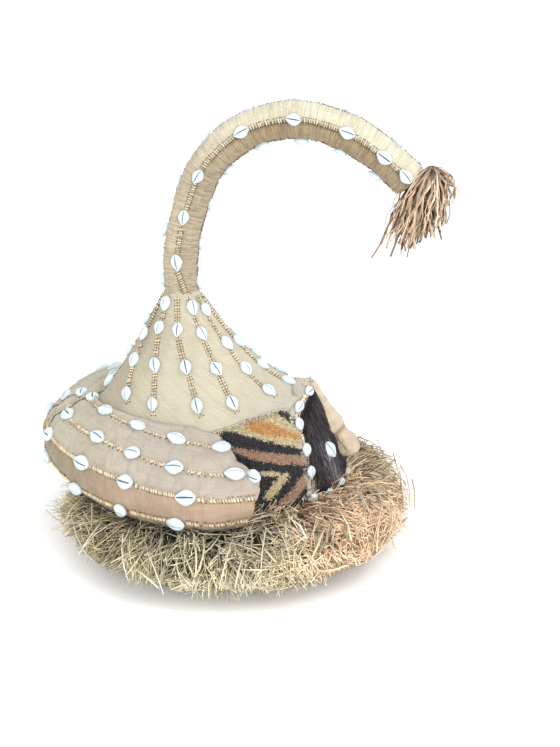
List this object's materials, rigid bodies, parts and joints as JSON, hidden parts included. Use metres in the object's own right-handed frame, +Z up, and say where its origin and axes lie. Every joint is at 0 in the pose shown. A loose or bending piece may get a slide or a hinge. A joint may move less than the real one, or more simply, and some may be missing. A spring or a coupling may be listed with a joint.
{
  "type": "kuba mukyeem helmet mask",
  "caption": "Raffia-cloth helmet mask with a stuffed elephant trunk, two broad stuffed ears, a fur face, cut-pile cheeks, rows of cowries and beads, and a raffia ruff",
  "frame": {"origin": "the middle of the underside: the centre of the bounding box in plan, at the height of the surface that the raffia ruff stands on", "axes": "+Z up, the face and the trunk's end look along -Y, the mask's own right ear is on the -X side"},
  "size_m": [0.4286, 0.4886, 0.5003],
  "materials": {
    "cap_cloth": "plain-woven raffia cloth, matte, faintly stained",
    "ear_cloth": "plain-woven raffia cloth, matte, browner",
    "trunk_cloth": "ribbed raffia cloth, cream above and brown below",
    "nose_cloth": "plain-woven raffia cloth, matte",
    "chin_cloth": "greyed raffia cloth, matte",
    "pile_cloth": "cut-pile raffia cloth, black, gold, orange and brown",
    "fur": "long black fur with grey and white hairs, glossy",
    "ruff_raffia": "cut raffia strands, straw to brown, dull",
    "tassel_raffia": "cut raffia strands, reddish brown, dull",
    "shells_and_beads": "white cowries and small tan beads, half gloss"
  },
  "bodies": {
    "root": {"chin_cloth": "chin_cloth", "chin_row": "shells_and_beads", "cone_row_01": "shells_and_beads", "cone_row_02": "shells_and_beads", "cone_row_03": "shells_and_beads", "cone_row_04": "shells_and_beads", "cone_row_05": "shells_and_beads", "cone_row_06": "shells_and_beads", "cone_row_07": "shells_and_beads", "cone_row_08": "shells_and_beads", "cone_row_09": "shells_and_beads", "cone_row_10": "shells_and_beads", "cone_row_11": "shells_and_beads", "cone_row_12": "shells_and_beads", "cone_row_13": "shells_and_beads", "face_border": "cap_cloth", "face_pelt": "fur", "hood": "cap_cloth", "left_border_row": "shells_and_beads", "left_cheek_cloth": "pile_cloth", "left_ear": "ear_cloth", "left_ear_row_inner": "shells_and_beads", "left_ear_row_lower_rim": "shells_and_beads", "left_ear_row_middle": "shells_and_beads", "left_ear_row_upper_rim": "shells_and_beads", "left_eye_shell": "shells_and_beads", "nose": "nose_cloth", "right_border_row": "shells_and_beads", "right_cheek_cloth": "pile_cloth", "right_ear": "ear_cloth", "right_ear_row_inner": "shells_and_beads", "right_ear_row_lower_rim": "shells_and_beads", "right_ear_row_middle": "shells_and_beads", "right_ear_row_upper_rim": "shells_and_beads", "right_eye_shell": "shells_and_beads", "ruff": "ruff_raffia", "trunk": "trunk_cloth", "trunk_row_left": "shells_and_beads", "trunk_row_right": "shells_and_beads", "trunk_row_top": "shells_and_beads", "trunk_row_under": "shells_and_beads", "trunk_tassel": "tassel_raffia"}
  },
  "joints": []
}
